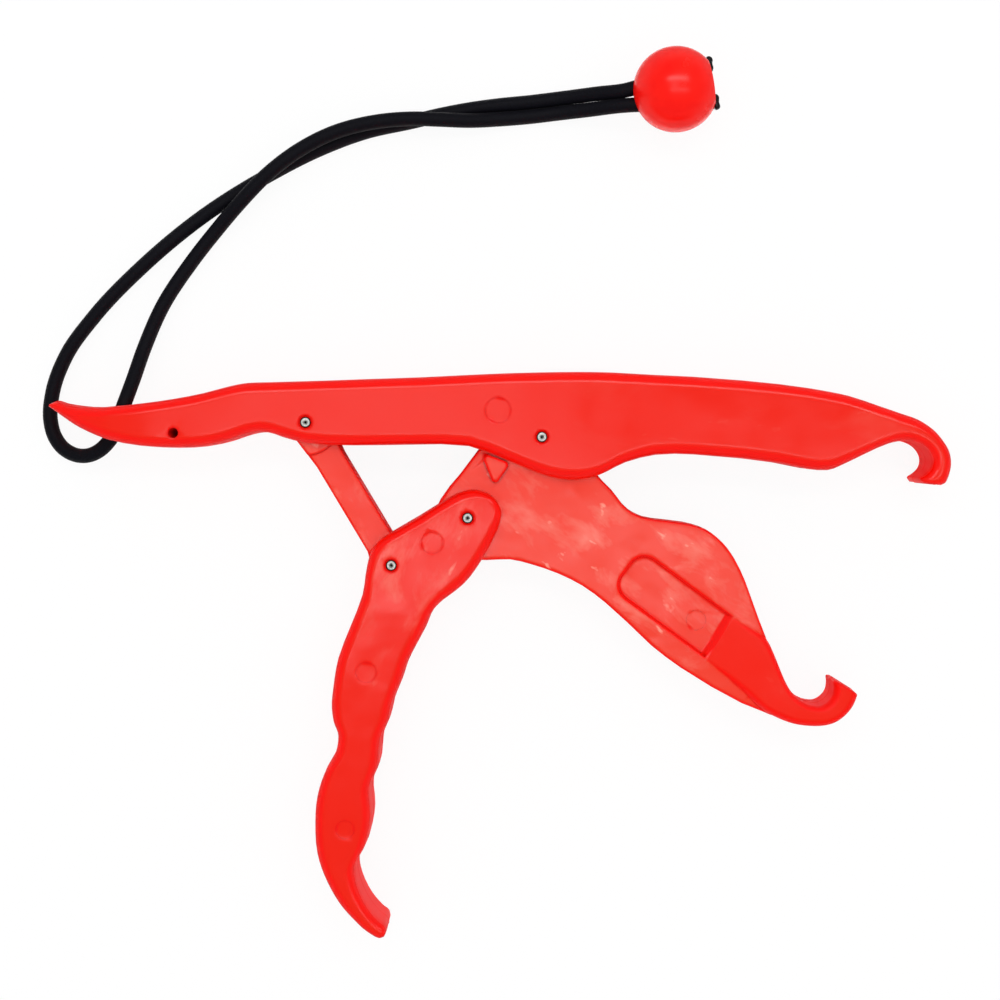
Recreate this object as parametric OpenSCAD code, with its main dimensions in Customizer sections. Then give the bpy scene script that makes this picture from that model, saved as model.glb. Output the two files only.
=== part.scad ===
// Fish lip gripper lying on its side, jaws open. All sizes are in millimetres.
// A channelled body carries the upper hook and the tail. A plate with the lower hook swings in the channel,
// and a forked lever closes it through a toggle link. An elastic cord with a ball runs through the tail.
// The origin is on the axis of the jaw pivot, at the surface the gripper lies on.

/* [Body] */
// Thickness of the body and the lever
body_t = 20; // [18:0.5:24]
// From the jaw pivot to the nose of the upper hook
nose_reach = 112; // [100:1:125]
// From the link anchor to the tip of the tail
tail_reach = 71.5; // [64:0.5:80]
// Thickness of the tail at its tip
tail_tip_t = 7; // [5:0.5:10]
// Rounding of the body's long edges
body_edge = 3.2; // [1.5:0.1:4]
// Material left above the channel
spine_web = 4.5; // [3:0.5:6]
// Diameter of the tether hole in the tail
tether_d = 2.8; // [2:0.1:4]

/* [Linkage] */
// From the jaw pivot back to the link anchor
anchor_back = 64.5; // [60:0.5:70]
// Height of the link anchor above the jaw pivot
anchor_rise = 4; // [3:0.5:5]
// Jaw pivot to lever pivot
jaw_crank = 30; // [28:0.5:32]
// Lever pivot to link pin
lever_crank = 24.5; // [23:0.5:26]
// Link anchor to link pin
link_span = 45.5; // [44:0.5:47]
// Opening angle of the jaw as drawn
jaw_open = 32; // [26:1:34]

/* [Jaw] */
// Thickness of the jaw plate and the link
plate_t = 10; // [8:0.5:11]
// Gap on each side of a plate in its channel or fork
side_gap = 0.3; // [0.2:0.05:0.6]
// Depth of the pocket on each side of the jaw plate
pocket_depth = 2; // [1:0.25:3]
// Width of the pocket
pocket_w = 13.2; // [9:0.1:14]
// Rounding of the edges of the plate and the pocket
plate_edge = 0.7; // [0.3:0.1:0.9]
// Thickness of the lower hook
arm_t = 16; // [14:0.5:18]
// Step from the plate up to the start of the arm
arm_step = 0.2; // [0.1:0.1:0.5]
// Rounding of the arm and the lower hook
arm_edge = 2.2; // [1:0.1:3]
// Gap between the two hooks when the jaw is shut
hook_gap = 0.6; // [0.4:0.1:1.5]
// Gap between the opening stop and the body
stop_gap = 0.4; // [0.3:0.1:1]
// How far the opening stop stands out of the plate
stop_rise = 2.5; // [1:0.25:3]
// Rounding of the corners of the opening stop
stop_r = 1.2; // [0.6:0.1:1.6]

/* [Lever] */
// From the link pin to the end of the grip
grip_len = 102; // [90:1:115]
// Rounding of the lever's edges
lever_edge = 3; // [1.5:0.1:3.5]
// From the link pin down to the floor of the fork
fork_depth = 9.5; // [9:0.5:14]

/* [Link] */
// Radius of the link's eye in the body
anchor_eye_r = 5.8; // [5:0.1:6]
// Radius of the link's eye in the lever
lever_eye_r = 6.4; // [6.2:0.1:6.8]
// Width of the link between its eyes
link_w = 8.2; // [7:0.1:10]
// Step down from the hub of the link to its bar, on each side
bar_step = 0.6; // [0.2:0.1:1.5]
// How far the thick hub of the link reaches from the anchor
hub_reach = 9; // [7:0.5:12]
// Travel of the link pin each way in its slotted eye
toggle_play = 2; // [1.8:0.1:2.3]
// Clearance around the link pin in its slotted eye
toggle_gap = 0.4; // [0.3:0.05:0.5]

/* [Pins] */
// Diameter of the four steel pins
pin_d = 3; // [2.5:0.1:3.5]
// Radial clearance where a plate turns on a pin
run_gap = 0.05; // [0.02:0.01:0.1]
// How far a pin's ends sit below the faces
pin_set = 0.6; // [0.3:0.1:1.2]
// Width of the ring around a pin's end
pin_ring = 0.4; // [0.2:0.1:0.8]

/* [Cord] */
// Diameter of the elastic cord
cord_d = 4; // [3.4:0.1:4.4]
// Clearance around the cord in the ball
cord_gap = 0.4; // [0.35:0.05:0.5]
// Clearance around the cord in the tail, where it bends
tail_gap = 1; // [0.9:0.1:1.2]
// Diameter of the ball
ball_d = 23.6; // [23:0.1:25]
// From the middle of the ball to its flat side
ball_flat = 9.9; // [9.5:0.1:11]
// Distance between the two cord ends
end_spread = 10.6; // [9:0.2:11]
// Diameter of the melted cord ends
end_d = 4.8; // [4:0.1:5.5]
// Height of the melted cord ends
end_h = 1.6; // [1.2:0.1:2.4]

/* [Hidden] */
$fn = 48;

// Red moulded plastic, steel and black elastic
moulding = "#f0281e";
steel = "#a8a8a4";
elastic = "#17171a";

// Greatest turn between two neighbouring facets of a curve, and facets in the rounded edges of the
// mouldings and of the jaw plate
turn = 6;
edge_steps = 5;
plate_steps = 3;
// Share of a half width that an edge rounding may take
edge_share = 0.85;
// How far a cutting tool runs past what it cuts
past = 1;
// Depth of the marks that ejector pins leave in a face
mark_depth = 0.2;
// Hollow in the end of a pin
dimple_d = 1.3;
dimple_depth = 0.5;

mid = body_t / 2;
plate_low = mid - plate_t / 2;
slot_t = plate_t + 2 * side_gap;

// Jaw pivot, link anchor, lever pivot and link pin, with the jaw open
pivot = [0, 0];
anchor = [-anchor_back, anchor_rise];
jaw_crank_angle = 259.5;
knee = jaw_crank * heading(jaw_crank_angle - jaw_open);
toggle = meet(anchor, link_span, knee, lever_crank);
// The lever is drawn with its grip hanging down, and then its crank points this way
lever_crank_angle = 211.8;
lever_tilt = bearing(toggle - knee) - lever_crank_angle;
link_pin = lever_crank * heading(lever_crank_angle);
link_angle = bearing(toggle - anchor);
// Direction of the play in the slotted eye, from the link's own length
toggle_slot_angle = 73;

// The tail runs back from its root, and the front of the body from its brow to the root of the hook
tail_root = 16;
brow = 31;
hook_len = 28;
function tail(s) = anchor.x - tail_root - s * (tail_reach - tail_root);
function front(s) = brow + s * (nose_reach - hook_len - brow);
function tail_half(s) = mid - (mid - tail_tip_t / 2) * pow(max(0, 2 * s - 1), 2);

// Vectors and angles
function heading(a) = [cos(a), sin(a)];
function bearing(v) = (atan2(v.y, v.x) + 360) % 360;
function mix(a, b, s) = a + (b - a) * s;
function turned(p, a) = [p.x * cos(a) - p.y * sin(a), p.x * sin(a) + p.y * cos(a)];
function unit(v) = v / norm(v);
function corner(u, v) = acos(max(-1, min(1, unit(u) * unit(v))));

// The lower crossing of two circles
function meet(a, ra, b, rb) =
    let (d = norm(b - a),
         along = (ra * ra - rb * rb + d * d) / (2 * d),
         off = sqrt(ra * ra - along * along),
         u = (b - a) / d)
    a + along * u + off * [u.y, -u.x];

// A smooth curve through points with any number of coordinates
function at(p, i, loop) = loop ? p[(i + len(p)) % len(p)] : p[max(0, min(len(p) - 1, i))];
function tangent(p, i, loop) =
    let (back = at(p, i, loop) - at(p, i - 1, loop),
         ahead = at(p, i + 1, loop) - at(p, i, loop),
         b = norm(back),
         a = norm(ahead))
    b == 0 ? ahead / a : a == 0 ? back / b : (back / b * a + ahead / a * b) / (a + b);
function hermite(p, q, tp, tq, s) =
    let (d = norm(q - p))
    (2 * s * s * s - 3 * s * s + 1) * p + (s * s * s - 2 * s * s + s) * d * tp
    + (3 * s * s - 2 * s * s * s) * q + (s * s * s - s * s) * d * tq;
// Where the curve is cut into facets: the number of the stretch, and the share of that stretch
function cuts(p, loop) =
    [for (i = [0:len(p) - (loop ? 1 : 2)])
        let (chord = at(p, i + 1, loop) - p[i],
             bend = corner(tangent(p, i, loop), chord) + corner(chord, tangent(p, i + 1, loop)),
             n = max(1, ceil(bend / turn)))
        for (j = [0:n - 1]) [i, j / n],
     if (!loop) [len(p) - 2, 1]];
function spot(p, cut, loop) =
    let (i = cut[0])
    hermite(p[i], at(p, i + 1, loop), tangent(p, i, loop), tangent(p, i + 1, loop), cut[1]);
function curve(p, loop = false) = [for (c = cuts(p, loop)) spot(p, c, loop)];

// A rib crosses a moulding from one edge of its outline to the other, with its half thickness.
// Between two ribs the edges run smoothly, and the thickness changes evenly.
function rib(a, b, half = mid) = [a.x, a.y, b.x, b.y, half];
function between(ribs) =
    let (edges = [for (r = ribs) [r[0], r[1], r[2], r[3]]])
    [for (c = cuts(edges, false))
        concat(spot(edges, c, false), mix(ribs[c[0]][4], ribs[c[0] + 1][4], c[1]))];

// The rounded section that stands on a rib
function section(r, edge) =
    let (a = [r[0], r[1]],
         b = [r[2], r[3]],
         centre = (a + b) / 2,
         half_w = norm(a - b) / 2,
         u = unit(a - b),
         eu = min(edge, edge_share * half_w),
         ez = min(edge, edge_share * r[4]))
    [for (q = [0:3])
        let (side = q == 0 || q == 3 ? 1 : -1,
             rise = q < 2 ? 1 : -1)
        for (j = [0:edge_steps])
            let (t = 90 * (q + j / edge_steps),
                 w = side * (half_w - eu) + eu * cos(t),
                 z = rise * (r[4] - ez) + ez * sin(t))
            [centre.x + u.x * w, centre.y + u.y * w, mid + z]];

// Triangles that fill an outline which runs counterclockwise: one corner after another is cut off
function cross_z(u, v) = u.x * v.y - u.y * v.x;
function covers(a, b, c, q) =
    cross_z(b - a, q - a) >= 0 && cross_z(c - b, q - b) >= 0 && cross_z(a - c, q - c) >= 0;
function can_cut(p, left, k) =
    let (a = p[at(left, k - 1, true)],
         b = p[left[k]],
         c = p[at(left, k + 1, true)])
    cross_z(b - a, c - b) > 0
    && len([for (i = left) if (p[i] != a && p[i] != b && p[i] != c && covers(a, b, c, p[i])) i]) == 0;
function next_cut(p, left, k = 0) =
    k == len(left) - 1 || can_cut(p, left, k) ? k : next_cut(p, left, k + 1);
function filled(p, left) =
    len(left) == 3 ? [left] :
    let (k = next_cut(p, left))
    concat([[at(left, k - 1, true), left[k], at(left, k + 1, true)]],
           filled(p, [for (i = [0:len(left) - 1]) if (i != k) left[i]]));

// A closed skin over rings of equal length, each ring counterclockwise seen from the far end.
// The ends of a skin whose rings aren't convex need the triangles that fill a ring.
module skin(rings, fill = []) {
    m = len(rings[0]);
    last = len(rings) - 1;
    points = [for (r = rings) each r];
    sides = [for (i = [0:last - 1])
        for (j = [0:m - 1])
            let (k = (j + 1) % m,
                 a = i * m + j,
                 b = a + m,
                 c = (i + 1) * m + k,
                 d = c - m)
            each norm(points[a] - points[c]) < norm(points[b] - points[d])
                ? [[a, b, c], [a, c, d]] : [[a, b, d], [b, c, d]]];
    near = len(fill) > 0 ? fill : [[for (j = [0:m - 1]) j]];
    far = [for (f = near) [for (j = [len(f) - 1:-1:0]) last * m + f[j]]];
    polyhedron(points, concat(sides, near, far));
}

module loft(ribs, edge) {
    skin([for (r = between(ribs)) section(r, edge)]);
}

// Outward steps of an outline that runs counterclockwise, long enough to move its sides out by 1
function side_out(p, i) =
    let (v = unit(at(p, i + 1, true) - at(p, i, true)))
    [v.y, -v.x];
function outward(p) =
    [for (i = [0:len(p) - 1])
        let (m = side_out(p, i) + side_out(p, i - 1))
        2 * m / (m * m)];
function ring(p, grow, z) =
    let (out = outward(p))
    [for (i = [0:len(p) - 1]) [each p[i] + grow * out[i], z]];

// An arc from one angle to another, and an outline with its corners rounded
function arc(c, r, from, to) =
    let (n = max(2, ceil(abs(to - from) / turn)))
    [for (j = [0:n]) c + r * heading(mix(from, to, j / n))];
function rounded(p, r) =
    [for (i = [0:len(p) - 1])
        let (in = bearing(side_out(p, i - 1)),
             bend = (bearing(side_out(p, i)) - in + 360) % 360,
             miter = side_out(p, i - 1) + side_out(p, i))
        each arc(p[i] - 2 * r * miter / (miter * miter), r, in, in + bend)];

// A flat piece through the middle of the thickness, with its edges rounded
module slab(outline, t, edge) {
    flat = [for (q = ring(outline, -edge, 0)) [q.x, q.y]];
    skin([for (side = [-1, 1])
            for (j = [0:plate_steps])
                let (a = 90 * (side < 0 ? j : plate_steps - j) / plate_steps)
                ring(outline, edge * (sin(a) - 1), mid + side * (t / 2 - edge * (1 - cos(a))))],
         filled(flat, [for (i = [0:len(flat) - 1]) i]));
}

module bore(p, d) {
    translate([p.x, p.y, -past]) cylinder(d = d, h = body_t + 2 * past);
}

// A bore that a pin is pressed into, with a ring sunk around each end
module pin_seat(p) {
    bore(p, pin_d);
    for (z = [-past, body_t - pin_set])
        translate([p.x, p.y, z]) cylinder(d = pin_d + 2 * pin_ring, h = pin_set + past);
}

module ejector_mark(p, d, face = body_t) {
    translate([p.x, p.y, face - mark_depth]) cylinder(d = d, h = mark_depth + past);
}

module pin(p) {
    color(steel)
        difference() {
            translate([p.x, p.y, pin_set]) cylinder(d = pin_d, h = body_t - 2 * pin_set);
            for (z = [pin_set - past, body_t - pin_set - dimple_depth])
                translate([p.x, p.y, z]) cylinder(d = dimple_d, h = past + dimple_depth);
        }
}

// Body, from the tip of the tail to the tip of the upper hook
nose = [nose_reach, 0];
hook_face = -13.2;
body_ribs = [
    rib([tail(1) + 0.2, 9.2], [tail(1), 8.2], tail_half(1)),
    rib([tail(0.97), 9.9], [tail(0.97), 7], tail_half(0.97)),
    rib([tail(0.91), 9.1], [tail(0.91), 4.8], tail_half(0.91)),
    rib([tail(0.79), 8.2], [tail(0.84), 2.6], tail_half(0.79)),
    rib([tail(0.65), 8.5], [tail(0.7), -0.6], tail_half(0.65)),
    rib([tail(0.51), 9.3], [tail(0.53), -2.4]),
    rib([tail(0.37), 10.4], [tail(0.36), -2.9]),
    rib([tail(0.22), 12], [tail(0.22), -2.5]),
    rib([tail(0.09), 13.9], [tail(0.11), -1.2]),
    rib([tail(0), 14.8], [tail(0), 0.8]),
    rib(anchor + [-10, 11], anchor + [-11, -2.6]),
    rib(anchor + [-3, 11.2], anchor + [-6.5, -4]),
    rib(anchor + [4, 11.4], anchor + [-0.5, -5.6]),
    rib(anchor + [15, 11.8], anchor + [13, -6.3]),
    rib([-32, 16.4], [-35, -2.1]),
    rib([-20, 17], [-20, -2.5]),
    rib([-8, 17.5], [-9, -6.6]),
    rib([0, 17.7], [-1, -9.9]),
    rib([7, 17.8], [5, -11.5]),
    rib([13, 17.8], [10, -11.7]),
    rib([18, 17.7], [15, -10.7]),
    rib([24, 17.4], [23, -6.9]),
    rib([front(0), 17], [front(0), -4.9]),
    rib([front(0.2), 16.5], [front(0.2), -4.8]),
    rib([front(0.45), 15.5], [front(0.45), -5.9]),
    rib([front(0.64), 14.5], [front(0.64), -7.2]),
    rib([front(0.78), 13.5], [front(0.79), -8.8]),
    rib([front(0.87), 12.7], [front(0.89), -9.1]),
    rib(nose + [-28, 11.3], nose + [-29, -7.3]),
    rib(nose + [-19.6, 8.5], nose + [-23, -4.4]),
    rib(nose + [-13.5, 6.4], nose + [-17, -1.8]),
    rib(nose + [-9, 4.8], nose + [-13.5, -1.1]),
    rib(nose + [-5, 2.2], nose + [-10, -1.5]),
    rib(nose + [-2.2, -1], nose + [-6.8, -3.4]),
    rib(nose + [-0.5, -4], nose + [-5.4, -6]),
    rib(nose + [0, -7.5], nose + [-5.8, -8.6]),
    rib(nose + [-0.7, -10.8], nose + [-7.4, -10.3]),
    rib(nose + [-1.6, hook_face + 0.6], nose + [-8.9, hook_face + 1.7]),
    rib(nose + [-2.6, hook_face], nose + [-8.3, hook_face + 0.6], mid - 0.8)];
// Roof of the channel, from its back end over the anchor and the jaw pivot to its front end
channel_back = 8.5;
channel_front = 0.89;
channel = [
    anchor + [-channel_back, -20],
    anchor + [-channel_back, 15 - spine_web - anchor.y - 3],
    anchor + [-channel_back + 3, 15 - spine_web - anchor.y],
    [0, 17.5 - spine_web],
    [front(0), 17 - spine_web],
    [front(0.6), 14.5 - spine_web],
    [front(channel_front), 7],
    [front(channel_front), -20]];
tether = [tail(0.36), 1.1];

module body() {
    color(moulding)
        difference() {
            loft(body_ribs, body_edge);
            translate([0, 0, mid - slot_t / 2]) linear_extrude(slot_t) polygon(channel);
            pin_seat(pivot);
            pin_seat(anchor);
            bore(tether, tether_d);
            cord_hole(tail_in, tail_out, 2 * cord_d, tail_gap);
            ejector_mark([-12, 7.3], 7);
        }
}

// Lower jaw, drawn shut and then turned open. Its plate reaches from the lever pivot to the arm.
shut_knee = jaw_crank * heading(jaw_crank_angle);
jaw_plate = [
    [-12.8, -11.9],
    shut_knee + [-8.1, 8.8],
    shut_knee + [-9, 0],
    shut_knee + [-8, -4.8],
    shut_knee + [-5.5, -8.8],
    shut_knee + [-1, -10.8],
    shut_knee + [4.5, -10.3],
    shut_knee + [10.6, -7.3],
    [10.5, -33.2],
    [16, -31.3],
    [23.8, -29.5],
    [31.2, -28.8],
    [front(0.15), -29.4],
    [front(0.3), -30.8],
    [front(0.47), -32.7],
    [front(0.66), -33.6],
    [front(0.85), -33.6],
    nose + [-26.5, -33],
    nose + [-21, -32],
    nose + [-16.5, -30.8],
    nose + [-14.8, -28.2],
    nose + [-21, -22.6],
    nose + [-26.6, -17.4],
    nose + [-30.6, -13.9],
    [front(0.875), -10.9],
    [front(0.71), -4],
    [front(0.6), -0.3],
    [front(0.505), 1.7],
    [front(0.4), 2.3],
    [front(0.28), 0.7],
    [front(0.19), -1.5],
    [front(0.08), -4],
    [front(0), -4.4],
    [24, -2.2],
    [18.2, -0.7],
    [13.7, 2.3],
    [9.5, 7],
    [3, 11],
    [-4.5, 10.8],
    [-10, 6.2],
    [-12, 0]];
// Arm and lower hook, from the ramp at the pocket to the tip. It grows thicker from the plate to the hook.
arm_floor = plate_t / 2 - pocket_depth;
function arm_half(s) = mix(plate_t / 2 + arm_step, arm_t / 2, s);
jaw_face = hook_face - hook_gap;
arm_ribs = [
    rib(nose + [-44.8, -11.4], nose + [-44.8, -30.2], arm_floor - 0.4),
    rib(nose + [-43.4, -11.6], nose + [-43.4, -30.1], arm_floor),
    rib(nose + [-40.9, -12.8], nose + [-40.9, -29.6], arm_half(0)),
    rib(nose + [-36.8, -13.4], nose + [-36.8, -29.5], arm_half(0.12)),
    rib(nose + [-30.7, -14], nose + [-31.2, -29.8], arm_half(0.3)),
    rib(nose + [-26.2, -16.7], nose + [-26, -30.5], arm_half(0.45)),
    rib(nose + [-22.3, -19.6], nose + [-21.2, -31.4], arm_half(0.6)),
    rib(nose + [-18.5, -22.2], nose + [-16, -31.1], arm_half(0.8)),
    rib(nose + [-15.6, -23.4], nose + [-11.5, -30.1], arm_half(0.9)),
    rib(nose + [-12.8, -23.7], nose + [-7.6, -28.3], arm_half(1)),
    rib(nose + [-10.2, -23.2], nose + [-4.2, -26], arm_half(1)),
    rib(nose + [-8.2, -22.1], nose + [-2.1, -23.6], arm_half(1)),
    rib(nose + [-7.2, -20.6], nose + [-1, -21], arm_half(1)),
    rib(nose + [-6.8, -18], nose + [-0.5, -17.6], arm_half(1)),
    rib(nose + [-7.7, -15.8], nose + [-0.9, jaw_face - 1], arm_half(1)),
    rib(nose + [-8.6, jaw_face - 0.5], nose + [-1.3, jaw_face - 0.2], arm_half(1)),
    rib(nose + [-8, jaw_face], nose + [-2.1, jaw_face], arm_half(1) - 0.6)];
pocket_back = -30;
pocket_front = 1.6;
pocket_r = 4.5;
pocket_mouth = [-43, -20.8];
pocket_slant = -4.4;
// The opening stop lies along the lower edge of the body, between two of its ribs
stop_from = [-20, -2.5];
stop_to = [-9, -6.6];
stop_low = [-13, -13.8];

// The hollow of the pocket in the upper face, from the ramp of the arm to two round corners.
// Its floor and its rim are rounded.
module pocket_cut() {
    side = pocket_w / 2;
    back = pocket_back + pocket_r;
    flat = concat([[pocket_front, -side], [pocket_front, side]],
                  arc([back, side - pocket_r], pocket_r, 90, 180),
                  arc([back, pocket_r - side], pocket_r, 180, 270));
    outline = [for (q = flat) nose + pocket_mouth + turned(q, pocket_slant)];
    top = mid + plate_t / 2;
    skin(concat(
        [for (j = [0:plate_steps])
            let (a = 90 * (1 - j / plate_steps))
            ring(outline, plate_edge * (cos(a) - 1), top - pocket_depth + plate_edge * (1 - sin(a)))],
        [for (j = [0:plate_steps])
            let (a = 90 * j / plate_steps)
            ring(outline, plate_edge * (1 - cos(a)), top + plate_edge * (sin(a) - 1))],
        [ring(outline, plate_edge, top + past)]));
}

module opening_stop() {
    along = unit(stop_to - stop_from);
    down = stop_gap * [along.y, -along.x];
    slab(rounded([mix(stop_from, stop_to, 0.3) + down, stop_low, stop_to + 0.6 * along + down], stop_r),
         plate_t + 2 * stop_rise, plate_edge);
}

module lower_jaw() {
    floor_z = mid + plate_t / 2 - pocket_depth;
    color(moulding)
        difference() {
            union() {
                rotate(-jaw_open) {
                    difference() {
                        slab(curve(jaw_plate, loop = true), plate_t, plate_edge);
                        pocket_cut();
                        translate([0, 0, body_t]) mirror([0, 0, 1]) pocket_cut();
                        ejector_mark(nose + pocket_mouth + [-6, 0.5], 5.6, floor_z);
                    }
                    loft(arm_ribs, arm_edge);
                }
                opening_stop();
            }
            bore(pivot, pin_d + 2 * run_gap);
            bore(knee, pin_d + 2 * run_gap);
        }
}

// Lever, drawn about the lever pivot with its grip hanging down, from the nose of its head to the end
function grip(x, s) = link_pin + [x, -s * grip_len];
lever_ribs = [
    rib([8.2, 4], [7.4, 5.1], mid - 1.2),
    rib([9, 2.4], [5.8, 6.4], mid - 0.4),
    rib([9.2, 0.9], [3.7, 7.2]),
    rib([8.7, -1.7], [1, 7.6]),
    rib([7.3, -5.1], [-2.8, 6.6]),
    rib([5.1, -9.3], [-7.3, 4.1]),
    rib(link_pin + [22.9, -1.3], link_pin + [7.1, 13]),
    rib(link_pin + [19.9, -5], link_pin + [1.1, 9.5]),
    rib(link_pin + [16.5, -7.8], link_pin + [-3.4, 6.6]),
    rib(link_pin + [13.8, -9.8], link_pin + [-5.5, 4]),
    rib(link_pin + [11.4, -12.3], link_pin + [-6.7, 0]),
    rib(grip(9.1, 0.17), grip(-8, 0.08)),
    rib(grip(6.1, 0.225), grip(-11.3, 0.165)),
    rib(grip(4.1, 0.265), grip(-14.6, 0.25)),
    rib(grip(2.6, 0.31), grip(-16, 0.33)),
    rib(grip(0.2, 0.37), grip(-16.4, 0.385)),
    rib(grip(-0.7, 0.41), grip(-15.9, 0.42)),
    rib(grip(-2.9, 0.465), grip(-14.6, 0.46)),
    rib(grip(-3.3, 0.5), grip(-15.2, 0.5)),
    rib(grip(-3.8, 0.54), grip(-18.4, 0.56)),
    rib(grip(-5.9, 0.595), grip(-20.3, 0.62)),
    rib(grip(-5.5, 0.67), grip(-20.9, 0.69)),
    rib(grip(-6.9, 0.745), grip(-20.3, 0.775)),
    rib(grip(-9.9, 0.81), grip(-17.6, 0.85)),
    rib(grip(-9.1, 0.86), grip(-14.4, 0.905)),
    rib(grip(-6.4, 0.915), grip(-10.4, 0.95)),
    rib(grip(-3.4, 0.95), grip(-6.4, 0.985)),
    rib(grip(-1.5, 0.967), grip(-3.2, 1)),
    rib(grip(-1.2, 0.978), grip(-2.2, 0.997), mid - 0.6)];

module lever() {
    color(moulding)
        translate([knee.x, knee.y, 0])
            rotate(lever_tilt)
                difference() {
                    loft(lever_ribs, lever_edge);
                    translate([-grip_len, link_pin.y - fork_depth, mid - slot_t / 2])
                        cube([2 * grip_len, grip_len, slot_t]);
                    pin_seat(pivot);
                    pin_seat(link_pin);
                    ejector_mark(link_pin + [11.2, 6.2], 6);
                    ejector_mark(grip(-6.8, 0.285), 5.6);
                    ejector_mark(grip(-12.5, 0.705), 5);
                }
}

// Link, drawn along its own length from the anchor
anchor_flare = 12;
lever_flare = 6.5;
eye_inset = 0.4;
link_points = [
    [0, anchor_eye_r - eye_inset],
    [anchor_flare, link_w / 2],
    [link_span - lever_flare, link_w / 2],
    [link_span, lever_eye_r - eye_inset],
    [link_span, eye_inset - lever_eye_r],
    [link_span - lever_flare, -link_w / 2],
    [anchor_flare, -link_w / 2],
    [0, eye_inset - anchor_eye_r]];

// The slotted eye lets the pin wander as the toggle folds
module toggle_slot() {
    d = pin_d + 2 * toggle_gap;
    rotate(toggle_slot_angle) {
        for (s = [-1, 1])
            translate([s * toggle_play, 0, -past]) cylinder(d = d, h = plate_t + 2 * past);
        translate([-toggle_play, -d / 2, -past]) cube([2 * toggle_play, d, plate_t + 2 * past]);
    }
}

module link() {
    color(moulding)
        translate([anchor.x, anchor.y, plate_low])
            rotate(link_angle)
                difference() {
                    union() {
                        cylinder(r = anchor_eye_r, h = plate_t);
                        translate([link_span, 0, 0]) cylinder(r = lever_eye_r, h = plate_t);
                        translate([0, 0, bar_step])
                            linear_extrude(plate_t - 2 * bar_step) polygon(link_points);
                        intersection() {
                            linear_extrude(plate_t) polygon(link_points);
                            cylinder(r = hub_reach, h = plate_t);
                        }
                    }
                    translate([0, 0, -past]) cylinder(d = pin_d + 2 * run_gap, h = plate_t + 2 * past);
                    translate([link_span, 0, 0]) toggle_slot();
                }
}

module jaw_pivot_pin() {
    pin(pivot);
}

module lever_pivot_pin() {
    pin(knee);
}

module link_lever_pin() {
    pin(knee + turned(link_pin, lever_tilt));
}

module link_body_pin() {
    pin(anchor);
}

// Cord: from the first end in the ball, along the surface, round the tail tip, through the tail and back.
// The second strand rides over the first where they cross.
ball_at = [37.2, 96.2, ball_d / 2];
ball_turn = 10;
// The cord leaves the ball through its flat side
flat_out = [cos(ball_turn), sin(ball_turn), 0];
flat_side = [-sin(ball_turn), cos(ball_turn), 0];
first_end = ball_at + ball_flat * flat_out + end_spread / 2 * flat_side;
second_end = ball_at + ball_flat * flat_out - end_spread / 2 * flat_side;
first_mouth = [22.6, 96.3, 9];
second_mouth = [22.6, 92.2, 9];
tail_in = [-120.2, -1.2, 9.6];
tail_out = [-115.8, 9.6, 9.6];
cord_route = [
    first_end,
    mix(first_end, first_mouth, 0.5),
    first_mouth,
    [16.5, 96.1, 6.4],
    [7, 95.5, 2.9],
    [-3, 94.4, 2.1],
    [-12, 93.5, 2.1],
    [-20, 92.4, 2.1],
    [-28.4, 90.8, 2.1],
    [-36, 89, 2.1],
    [-49.5, 86, 2.1],
    [-63, 80.9, 2.1],
    [-76.5, 74, 2.1],
    [-94.5, 62.8, 2.1],
    [-112.5, 48, 2.1],
    [-126, 34, 2.1],
    [-134, 22.8, 2.1],
    [-137.8, 12.5, 2.1],
    [-138.4, 4.8, 2.1],
    [-137.2, 0.4, 2.6],
    [-134.6, -3, 3.7],
    [-130.8, -5, 5.2],
    [-126.6, -5.2, 7],
    [-122.8, -3.6, 8.6],
    tail_in,
    tail_out,
    [-114, 16, 7],
    [-111.6, 25, 3.6],
    [-106.6, 37, 2.4],
    [-98.6, 49.2, 2.2],
    [-91, 58.6, 3.2],
    [-84.5, 65.6, 5.4],
    [-76, 74, 6.5],
    [-67.5, 80.4, 6.3],
    [-58, 85.2, 6.1],
    [-46, 88.2, 6.3],
    [-36, 89, 6.4],
    [-28, 88.8, 6.2],
    [-20, 88.8, 4.6],
    [-11.5, 89.5, 2.8],
    [-3, 90.3, 2.2],
    [5, 91.2, 2.6],
    [13, 91.7, 5.1],
    second_mouth,
    mix(second_end, second_mouth, 0.5),
    second_end];
cord_sides = 8;

// A ring of the cord, square to its run
function cord_ring(p, along) =
    let (u = unit(cross([0, 0, 1], along)),
         v = unit(cross(along, u)))
    [for (j = [0:cord_sides - 1])
        let (t = 360 * j / cord_sides)
        p + cord_d / 2 * (cos(t) * u + sin(t) * v)];

module rod(from, to, d) {
    v = to - from;
    translate(from)
        rotate([0, acos(v.z / norm(v)), atan2(v.y, v.x)])
            cylinder(d = d, h = norm(v));
}

// A clearance hole for the cord between two points of its route, run on past both
module cord_hole(from, to, on, gap) {
    u = unit(to - from);
    rod(from - on * u, to + on * u, cord_d + 2 * gap);
}

// The cord is cut off flush with the flat side of the ball
module lanyard_cord() {
    route = curve(cord_route);
    last = len(route) - 1;
    color(elastic)
        skin([for (i = [0:last])
            cord_ring(route[i], i == 0 ? -flat_out : i == last ? flat_out : route[i + 1] - route[i - 1])]);
}

module lanyard_ball() {
    color(moulding)
        difference() {
            translate(ball_at)
                rotate([0, 90, ball_turn])
                    difference() {
                        sphere(d = ball_d);
                        translate([-ball_d, -ball_d, ball_flat]) cube(2 * ball_d);
                    }
            cord_hole(first_mouth, first_end, past, cord_gap);
            cord_hole(second_mouth, second_end, past, cord_gap);
        }
}

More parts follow.
